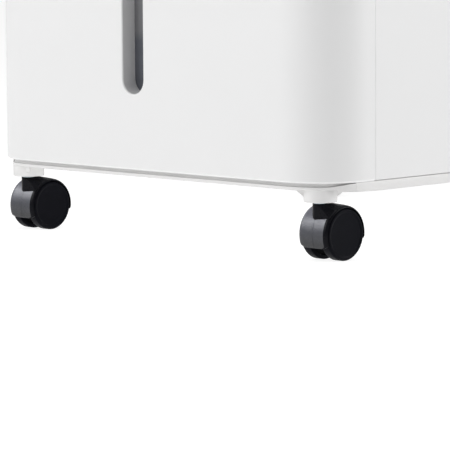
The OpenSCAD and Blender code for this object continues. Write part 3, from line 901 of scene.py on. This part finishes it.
    def skirt_tapers(self) -> None:
        """The wedges that run the side skirts out into the front lip round the corners."""
        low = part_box("base_pan")[0]
        front_low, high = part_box("tank_front")
        bottom, sole = front_low.z, front_low.z - self.lip_drop
        skirt_end = low.y + self.skirt_start
        radius = self.front_radius
        cx, cy = high.x - radius, high.y - self.front_depth + radius
        tapers = []
        for s in (-1, 1):
            rings = []
            for i in range(25):
                t = i / 24
                angle = math.asin((cy - skirt_end) / radius) + math.radians(38) * t
                ease = t * t * (3 - 2 * t)
                outer = radius - (1.5 + 3.1 * ease) * MM
                top = bottom - (0.35 + 2.95 * ease) * MM
                inner = outer - self.skirt_wall
                rings.append([(s * (cx + r * math.cos(angle)), cy - r * math.sin(angle), z)
                              for r, z in ((outer, sole), (outer, top), (inner, top), (inner, sole))])
            tapers.append(loft(rings))
        self.bench.publish("skirt_tapers", joined(tapers), ["base_pan"], soft=None)

    def boss_sleeves(self) -> None:
        """The sleeves round the caster bosses, each with two gussets under the pan."""
        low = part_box("base_pan")[0].z
        section = [(12.0, 0.2), (12.3, 0.0), (12.8, 0.45), (12.8, 9.75), (12.0, 9.75)]
        wing = [(11.5, 3.0), (17.8, 8.2), (17.8, 9.0), (11.5, 9.0)]
        parts = []
        for spot in CasterSpot.names():
            middle = middle_of(f"caster_{spot}_stem")
            place = Matrix.Translation((middle.x, middle.y, low))
            parts.append(turned([(r * MM, h * MM) for r, h in section], 64, place))
            lean = math.radians(45 if middle.x * middle.y < 0 else -45)
            for turn in (lean, lean + math.pi):
                spin = place @ Matrix.Rotation(turn, 4, "Z")
                parts.append(loft([[spin @ Vector((r * MM, y * MM, h * MM)) for r, h in wing]
                                   for y in (-1.6, 1.6)]))
        self.bench.publish("boss_sleeves", joined(parts), ["base_pan"], soft=None)

    def build(self) -> None:
        """Builds every shell."""
        self.tank_front()
        self.base()
        self.seam_lips()
        self.slot_shade_sheet()
        self.lip_riser()
        self.skirt_tapers()
        self.boss_sleeves()
        for node in ("front_panel", "rear_housing"):
            self.bench.rework(node, Softening(self.seam_edge, 2))
        self.bench.rework("top_cover", Softening(0.5 * MM, 3, math.radians(50)))
        self.bench.rework("handle_cups", Softening(1.2 * MM, 3))


@dataclass
class LevelWindow:
    """Smoky lens at the back of the slot."""

    bench: Workbench
    water: float = 164.6 * MM

    def build(self) -> None:
        """Builds the lens with its water line."""
        low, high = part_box("level_window")
        finish = LevelWindowFinish("smoky_level_window", low.z, high.z, self.water)
        self.bench.rework("level_window", Softening(0.3 * MM, 2), finish)


# ---------------------------------------------------------------- casters


class CasterSpot(Enum):
    """The four corners that carry a caster."""

    FRONT_LEFT = "fl"
    FRONT_RIGHT = "fr"
    REAR_LEFT = "rl"
    REAR_RIGHT = "rr"

    @classmethod
    def names(cls) -> list[str]:
        """The short names of all spots."""
        return [spot.value for spot in cls]


@dataclass
class Caster:
    """Twin-wheel caster: fender, web, saddle, wheels, axle and stem."""

    bench: Workbench
    spot: CasterSpot
    skin: float = 1.5 * MM
    rim_width: float = 3.5 * MM
    end_corner: float = 3.2 * MM
    web_half: float = 5.8 * MM
    neck_r: float = 6.0 * MM
    collar_r: float = 5.7 * MM
    front_end: float = 10.3 * MM
    rear_end: float = 14.5 * MM
    neck_end: float = 27.6 * MM
    steps: int = 56

    def name(self, part: str) -> str:
        """The node name of one of this caster's parts."""
        return f"caster_{self.spot.value}_{part}"

    def __post_init__(self) -> None:
        """Reads the caster's places from the frame."""
        self.low, self.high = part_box(self.name("hood"))
        self.pivot = middle_of(self.name("stem"))
        self.axle = middle_of(self.name("axle"))
        self.half = (self.high.x - self.low.x) / 2
        self.radius = self.high.y - self.axle.y

    def local(self, x: float, y: float, z: float) -> Vector:
        """A point given from the axle's middle."""
        return self.axle + Vector((x, y, z))

    def round_axle(self, x: float, radius: float, angle: float) -> Vector:
        """A point round the axle, with its angle measured from the front over the top."""
        return self.local(x, -radius * math.cos(angle), radius * math.sin(angle))

    def span(self, radius: float) -> Pair:
        """Where the fender starts and ends at a radius, as angles from the front over the top."""
        return (math.asin((self.front_end - self.axle.z) / radius),
                math.pi - math.asin((self.rear_end - self.axle.z) / radius))

    def arched(self, outline: Callable[[float], list[Pair]]) -> bmesh.types.BMesh:
        """Sweeps an outline over the wheels, from the fender's front end to its rear end.

        Args:
            outline: Gives the sideways place and the radius of each point, for the fender's half width there.

        Returns:
            The bmesh.
        """
        front, back = self.span(self.radius)
        rings = []
        for step in range(self.steps + 1):
            angle = front + (back - front) * step / self.steps
            run = min(step, self.steps - step) / self.steps * (back - front) * self.radius
            short = max(0.0, self.end_corner - run)
            half = self.half - (self.end_corner - math.sqrt(max(0.0, self.end_corner ** 2 - short ** 2)))
            rings.append([self.round_axle(x, r, angle) for x, r in outline(half)])
        return loft(rings)

    def fender(self) -> bmesh.types.BMesh:
        """The grained arch over both wheels."""
        inner = self.radius - self.skin

        def band(half: float) -> list[Pair]:
            """The arch's flat section between its rims."""
            edge = half - self.rim_width
            return [(-edge, inner), (edge, inner), (edge, self.radius), (-edge, self.radius)]

        return self.arched(band)

    def rim(self, side: int) -> bmesh.types.BMesh:
        """The rim that rolls from the arch down to one wheel's face.

        Args:
            side: -1 for the left rim and 1 for the right one.
        """
        inner, drop, steps = self.radius - self.skin, 1.75 * MM, 7

        def section(half: float) -> list[Pair]:
            """The rolled outline at one place along the arch."""
            edge = half - self.rim_width
            turns = [math.radians(90 * i / steps) for i in range(steps + 1)]
            outer = [(side * (edge + self.rim_width * math.sin(a)), self.radius - drop * (1 - math.cos(a)))
                     for a in turns]
            return outer + [(side * (half - 0.3 * MM), inner - 0.35 * MM), (side * edge, inner)]

        return self.arched(section)

    def web(self) -> bmesh.types.BMesh:
        """The plate between the wheels that carries the axle."""
        inner = self.radius - 0.8 * MM
        front, back = self.span(inner)
        turns = [front + (back - front) * i / 40 for i in range(41)]
        arc = [(-inner * math.cos(a), inner * math.sin(a)) for a in turns]
        arc += [(self.radius * 0.1, arc[-1][1]), (self.radius * 0.1 - 4 * MM, arc[0][1])]
        return loft([[self.local(x, y, z) for y, z in arc] for x in (-self.web_half, self.web_half)])

    def saddle(self) -> bmesh.types.BMesh:
        """The smooth body between the stem's neck and the top of the fender."""
        top = self.high.z
        points: list[Point] = []
        for i in range(32):
            angle = math.tau * i / 32
            x, y = self.neck_r * math.cos(angle), self.neck_r * math.sin(angle)
            rise = 0.9 * MM * (y + self.neck_r) / (2 * self.neck_r)
            points.append((self.pivot.x + x, self.pivot.y + y, top + rise))
            points.append((self.pivot.x + x, self.pivot.y + y, self.neck_end))
        side = self.half - 0.7 * MM
        crown = self.axle.z + self.radius
        for s in (-1, 1):
            for x, y, z in ((side, -4.5, -0.9), (side, 5.0, -1.0), (side - 2.5 * MM, 1.5, 0.25),
                            (side, -2.0, -6.0)):
                points.append((self.axle.x + s * x, self.axle.y + y * MM, crown + z * MM))
        apex = self.radius + 0.35 * MM
        for angle, inset in ((math.radians(38.0), 0.9), (math.radians(46.0), 0.9), (1.0, 0.5)):
            points.append(tuple(self.round_axle(self.half - inset * MM, apex, angle)))
        bm = hull_of(points)
        clear = self.radius - self.skin
        for s in (-1, 1):
            room = Matrix.Translation(self.axle) @ Matrix.Rotation(math.radians(90) * s, 4, "Y")
            wheel = [(0, self.web_half), (clear, self.web_half), (clear, 20 * MM), (0, 20 * MM)]
            bm = subtracted(bm, turned(wheel, 72, room))
        cut = turned([(0, top - 0.1 * MM), (self.collar_r, top - 0.1 * MM), (self.collar_r, top + 5 * MM),
                      (0, top + 5 * MM)], 32, Matrix.Translation((self.pivot.x, self.pivot.y, 0)))
        return subtracted(bm, cut)

    def parting_line(self) -> bmesh.types.BMesh:
        """The thin bead that the mould leaves down the middle of the fender's front."""
        radius = self.radius + 0.02 * MM
        path = [self.round_axle(0, radius, math.radians(-22 + 54 * i / 16)) for i in range(17)]
        return tube(path, 0.16 * MM, 6)

    def hood(self) -> None:
        """Publishes the grained cover, the right rim in painted shade and the smooth saddle."""
        grained = joined([self.fender(), self.rim(-1), self.web(), self.parting_line()])
        node = self.name("hood")
        cover = self.bench.publish(node + "_cover", grained, [node], soft=None)
        self.bench.stand_in(cover, node)
        # The right rim takes the dark smooth finish instead of the grained one: painted shade on the side
        # that faces away from the lights.
        self.bench.publish(node + "_rim_painted_shade", self.rim(1), [node], SMOOTH_NYLON_AND_RIM_SHADE, None)
        self.bench.publish(node + "_saddle", self.saddle(), [node], SMOOTH_NYLON_AND_RIM_SHADE, Softening(0.5 * MM, 3))

    def wheel(self, side: int) -> None:
        """One wheel: a tread with round shoulders and a smooth, slightly dished face.

        Args:
            side: -1 for the left wheel and 1 for the right one.
        """
        node = self.name("wheel_l" if side < 0 else "wheel_r")
        low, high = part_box(node)
        inner = min(abs(low.x - self.axle.x), abs(high.x - self.axle.x))
        outer = max(abs(low.x - self.axle.x), abs(high.x - self.axle.x))
        radius = (high.z - low.z) / 2
        rim = radius - 1.1 * MM
        hub, bore = 7.5 * MM, 2.06 * MM
        tread, floor, seat = radius - 3.2 * MM, outer - 4.0 * MM, outer - 2.5 * MM
        corners = [(0.0, outer - 0.75 * MM), (rim - 2.6 * MM, outer - 0.55 * MM), (rim - 1.2 * MM, outer),
                   (rim, outer), (radius, outer - 1.5 * MM), (radius, inner + 0.2 * MM),
                   (radius - 0.4 * MM, inner), (tread, inner), (tread, floor), (hub, floor),
                   (hub, inner), (bore, inner), (bore, seat), (0.0, seat)]
        radii = [0, 1.0 * MM, 0.4 * MM, 0.4 * MM, 1.0 * MM, 0.1 * MM, 0.1 * MM, 0.2 * MM, 0.4 * MM, 0.4 * MM,
                 0.2 * MM, 0, 0, 0]
        profile = rounded_profile(corners, radii, 3)
        turn = Matrix.Rotation(math.radians(90) * side, 4, "Y")
        bm = turned(profile, 96, Matrix.Translation(self.axle) @ turn)
        piece = self.bench.publish(node + "_piece", bm, [node], WHEEL_FACE, None)
        self.bench.stand_in(piece, node)

    def pins(self) -> None:
        """The axle, and the stem with its collar."""
        self.bench.rework(self.name("axle"), Softening(0.3 * MM, 2))
        self.bench.rework(self.name("stem"), Softening(0.25 * MM, 2))

    def build(self) -> None:
        """Builds the whole caster."""
        self.hood()
        self.wheel(-1)
        self.wheel(1)
        self.pins()


def subtracted(bm: bmesh.types.BMesh, cutter: bmesh.types.BMesh) -> bmesh.types.BMesh:
    """One solid minus another.

    Args:
        bm: The solid, which is freed.
        cutter: What is taken away, which is freed.

    Returns:
        What is left.
    """
    objects = []
    for part in (bm, cutter):
        mesh = bpy.data.meshes.new("cut")
        part.to_mesh(mesh)
        part.free()
        objects.append(bpy.data.objects.new("cut", mesh))
        bpy.context.scene.collection.objects.link(objects[-1])
    boolean = objects[0].modifiers.new("cut", "BOOLEAN")
    boolean.operation = "DIFFERENCE"
    boolean.solver = "EXACT"
    boolean.object = objects[1]
    graph = bpy.context.evaluated_depsgraph_get()
    made = bmesh.new()
    made.from_object(objects[0], graph)
    for left in objects:
        mesh = left.data
        bpy.data.objects.remove(left)
        bpy.data.meshes.remove(mesh)
    return made


# ---------------------------------------------------------------- the rest, from the frame


@dataclass
class PlainParts:
    """Frame nodes whose shape is right: they get soft edges and their finish."""

    bench: Workbench
    edge: float = 0.35 * MM
    most_sides: int = 40

    def build(self) -> None:
        """Reworks every node that nothing has replaced yet."""
        for node, part in frame["nodes"].items():
            if not part.hide_render:
                self.bench.rework(node, Softening(self.edge, 2),
                                  shape=self.split_rings if node == "tank_body" else None)

    def split_rings(self, bm: bmesh.types.BMesh) -> None:
        """Cuts many-sided faces into triangles, so that none round an opening reaches across it."""
        bmesh.ops.triangulate(bm, faces=[face for face in bm.faces if len(face.verts) > self.most_sides])


# ---------------------------------------------------------------- studio


@dataclass
class Studio:
    """Floor, light and camera."""

    azimuth: float = 44.58
    elevation: float = 6.26
    roll: float = -0.37
    distance: float = 2.29498
    aim: Point = (0.08679, CAD_BOX[0].y, 0.02373)
    lens: float = 240.0
    floor_half: float = 30.0
    floor_glow: float = 0.86
    sky: float = 0.17
    backdrop: float = 1.0

    def camera(self) -> None:
        """A long lens from the front right, slightly above."""
        data = bpy.data.cameras.new("camera")
        data.lens = self.lens
        data.sensor_width = 36.0
        data.clip_start, data.clip_end = 0.05, 200.0
        camera = bpy.data.objects.new("camera", data)
        bpy.context.scene.collection.objects.link(camera)
        bpy.context.scene.camera = camera
        turn, tilt = math.radians(self.azimuth), math.radians(self.elevation)
        back = Vector((math.sin(turn) * math.cos(tilt), -math.cos(turn) * math.cos(tilt), math.sin(tilt)))
        camera.rotation_mode = "QUATERNION"
        camera.rotation_quaternion = back.to_track_quat("Z", "Y") @ Matrix.Rotation(
            math.radians(self.roll), 3, "Z").to_quaternion()
        camera.location = Vector(self.aim) + back * self.distance

    def floor(self) -> None:
        """A pale floor that also gives the soft light from below."""
        graph = Graph("pale_floor")
        graph.set(Emission_Color=(1, 1, 1, 1), Emission_Strength=self.floor_glow, Specular_IOR_Level=0.0,
                  Roughness=0.9)
        tone = graph.blend(graph.noise(0.4), (0.345, 0.345, 0.345), (0.355, 0.355, 0.355))
        graph.join(tone, graph.shader.inputs["Base Color"])
        mesh = bpy.data.meshes.new("floor")
        half = self.floor_half
        corners = [(-half, -half, 0), (half, -half, 0), (half, half, 0), (-half, half, 0)]
        mesh.from_pydata(corners, [], [(0, 1, 2, 3)])
        mesh.materials.append(graph.material)
        floor = bpy.data.objects.new("floor", mesh)
        bpy.context.scene.collection.objects.link(floor)

    def world(self) -> None:
        """A dim even sky for light, and a white one behind the object."""
        world = bpy.data.worlds.new("studio")
        world.use_nodes = True
        tree = world.node_tree
        tree.nodes.clear()
        light, white = tree.nodes.new("ShaderNodeBackground"), tree.nodes.new("ShaderNodeBackground")
        light.inputs["Strength"].default_value = self.sky
        white.inputs["Strength"].default_value = self.backdrop
        for node in (light, white):
            node.inputs["Color"].default_value = (1, 1, 1, 1)
        path, mix = tree.nodes.new("ShaderNodeLightPath"), tree.nodes.new("ShaderNodeMixShader")
        out = tree.nodes.new("ShaderNodeOutputWorld")
        tree.links.new(path.outputs["Is Camera Ray"], mix.inputs["Fac"])
        tree.links.new(light.outputs["Background"], mix.inputs[1])
        tree.links.new(white.outputs["Background"], mix.inputs[2])
        tree.links.new(mix.outputs["Shader"], out.inputs["Surface"])
        bpy.context.scene.world = world

    def softbox(self, name: str, turn: float, tilt: float, far: float, size: float, watts: float,
                glint: bool = False) -> None:
        """A square soft light that looks at the cabinet.

        Args:
            name: The light's name.
            turn: Its direction round the cabinet in degrees, 0 at the front and 90 on the right.
            tilt: Its height above the floor in degrees.
            far: Its distance.
            size: Its side.
            watts: Its power.
            glint: It shows in reflections only.
        """
        data = bpy.data.lights.new(name, "AREA")
        data.shape = "SQUARE"
        data.size = size
        data.energy = watts
        light = bpy.data.objects.new(name, data)
        a, e = math.radians(turn), math.radians(tilt)
        way = Vector((math.sin(a) * math.cos(e), -math.cos(a) * math.cos(e), math.sin(e)))
        centre = (CAD_BOX[0] + CAD_BOX[1]) / 2
        light.location = centre + way * far
        light.rotation_mode = "QUATERNION"
        light.rotation_quaternion = way.to_track_quat("Z", "Y")
        light.visible_diffuse = not glint
        bpy.context.scene.collection.objects.link(light)

    def build(self) -> None:
        """Builds the studio."""
        bpy.context.scene.view_settings.view_transform = "Standard"
        self.camera()
        self.floor()
        self.world()
        self.softbox("front_softbox", -24, 25, 3.2, 1.5, 39)
        self.softbox("right_softbox", 128, 14, 3.2, 1.5, 40)
        self.softbox("glint_softbox", -56, 34, 3.2, 1.5, 66, glint=True)
        self.softbox("top_softbox", 10, 74, 3.0, 1.6, 22)


def main() -> None:
    """Builds the visual model and its studio."""
    logging.basicConfig(level=logging.INFO, format="%(name)s %(message)s")
    slots = {part["node"]: part["material_slot"] for part in frame["record"]["subparts"]}
    bench = Workbench(slots)
    Studio().build()
    Shells(bench).build()
    LevelWindow(bench).build()
    for spot in CasterSpot:
        Caster(bench, spot).build()
    PlainParts(bench).build()
    LOG.info("%d pieces", bench.count)


if __name__ == "__main__":
    main()
